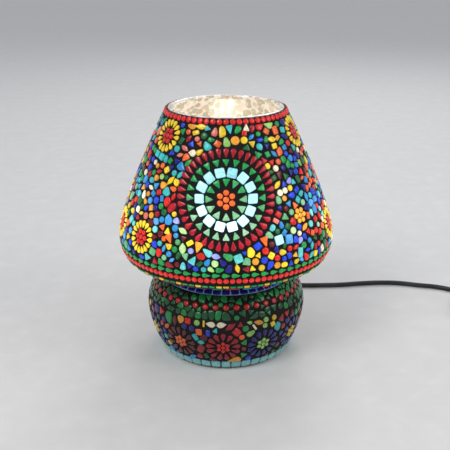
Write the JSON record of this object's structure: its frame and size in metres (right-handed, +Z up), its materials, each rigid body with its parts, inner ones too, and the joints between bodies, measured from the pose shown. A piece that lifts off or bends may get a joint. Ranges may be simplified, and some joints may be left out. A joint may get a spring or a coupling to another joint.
{
  "type": "mosaic glass table lamp",
  "caption": "Table lamp of one-piece blown glass, a wide shade over a round bowl, covered with small coloured glass pieces in dark grout, with a bulb inside, cord, switch and plug.",
  "frame": {"origin": "centre of the foot, on the table", "axes": "+Z up along the lamp's axis, the front faces -Y, the cord leaves at +Y"},
  "size_m": [0.453, 0.2319, 0.235],
  "materials": {
    "blown_glass": "opal cream, lit from inside",
    "grout": "dark matt grout",
    "red_glass": "glossy",
    "orange_glass": "glossy",
    "green_glass": "glossy",
    "white_glass": "glossy, pale",
    "crimson_glass": "glossy",
    "yellow_glass": "glossy",
    "blue_glass": "glossy",
    "aqua_glass": "glossy, pale",
    "felt": "pressed felt",
    "zinc_steel": "zinc plated",
    "brass": "satin",
    "rubber": "matt",
    "black_plastic": "satin",
    "porcelain": "glazed",
    "cord_sheath": "smooth PVC sheath",
    "grey_plastic": "satin",
    "nickel": "nickel plated",
    "bulb_glass": "clear",
    "bulb_black": "glassy black",
    "filament": "glowing"
  },
  "bodies": {
    "lamp": {"glass_shade": "blown_glass", "glass_edge": "blown_glass", "glass_under": "blown_glass", "glass_bowl_top": "blown_glass", "glass_bowl": "blown_glass", "glass_foot": "blown_glass", "shade_grout": "grout", "bowl_grout": "grout", "top_rim_beads": "red_glass", "mandala_orange_beads": "orange_glass", "mandala_inner_triangles": "green_glass", "mandala_squares": "white_glass", "mandala_outer_triangles": "green_glass", "mandala_red_drops": "crimson_glass", "sunflower_petals": "yellow_glass", "sunflower_beads": "red_glass", "shade_green_drops": "green_glass", "shade_red_beads": "orange_glass", "shade_edge_pieces": "green_glass", "bowl_blue_squares": "blue_glass", "bowl_red_beads": "red_glass", "bowl_flower_petals": "crimson_glass", "bowl_flower_beads": "orange_glass", "foot_squares": "aqua_glass", "felt_ring": "felt", "stem_tube": "zinc_steel", "stem_nuts": "brass", "steel_washers": "zinc_steel", "rubber_washers": "rubber", "spacer_tube": "brass", "holder_cap": "black_plastic", "holder_sleeve": "black_plastic", "holder_insert": "porcelain", "thread_shell": "brass", "centre_contact": "brass", "side_contact": "brass", "terminal_screws": "zinc_steel", "cord_grommet": "rubber", "strain_relief": "rubber", "inner_cord": "cord_sheath", "cord_lead": "cord_sheath", "cord_mid": "cord_sheath", "cord_coil": "cord_sheath", "cord_tie": "cord_sheath", "cord_end": "cord_sheath", "switch_base": "black_plastic", "switch_cover": "black_plastic", "switch_screws": "zinc_steel", "switch_contacts": "brass", "plug_body": "black_plastic", "plug_pins": "nickel", "plug_relief": "black_plastic"},
    "bulb": {"bulb_glass": "bulb_glass", "bulb_cap": "nickel", "bulb_insulator": "bulb_black", "bulb_contact": "nickel", "bulb_mount": "bulb_glass", "bulb_filaments": "filament"},
    "rocker": {"rocker": "grey_plastic"}
  },
  "joints": [
    {"name": "bulb_lift", "type": "slide", "parent": "lamp", "child": "bulb", "axis": [0, 0, 1], "range_m": [0, 0.185]},
    {"name": "switch_rocker", "type": "hinge", "parent": "lamp", "child": "rocker", "pos_m": [0.27, 0.05, 0.013], "axis": [-1, 0, 0], "range_deg": [0, 16]}
  ]
}
